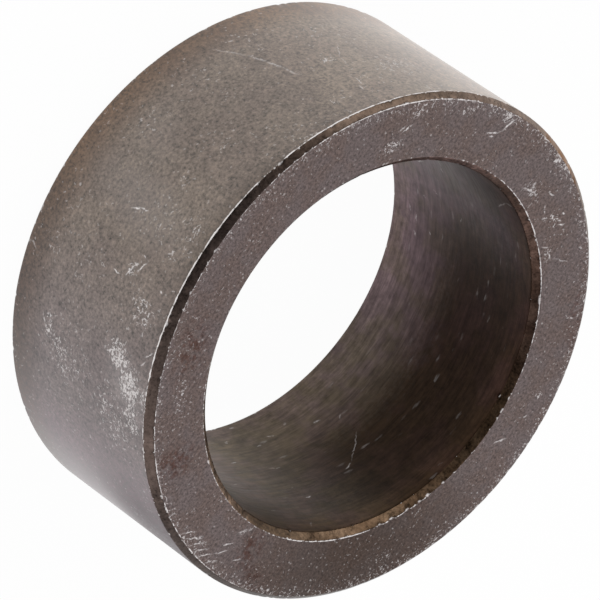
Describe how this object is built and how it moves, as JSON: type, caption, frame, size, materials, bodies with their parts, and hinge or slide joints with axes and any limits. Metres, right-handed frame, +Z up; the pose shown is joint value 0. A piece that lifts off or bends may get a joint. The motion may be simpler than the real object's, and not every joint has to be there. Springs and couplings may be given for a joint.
{
  "type": "plain steel bushing",
  "caption": "Thick-walled plain cylindrical bushing with a straight through bore, flat ends and bevelled rims, to line a housing and carry a pin or shaft.",
  "frame": {"origin": "centre of the bore in the plane of the lower end face, which the bushing stands on", "axes": "+Z up along the bore's axis; X and Y are any two directions across it, since the ring is round"},
  "size_m": [0.075, 0.075, 0.032],
  "materials": {
    "dark_steel": "turned steel with a thin dark oxide skin, handling scratches, bright bruised rims and a brown cast"
  },
  "bodies": {
    "root": {"bushing": "dark_steel"}
  },
  "joints": []
}
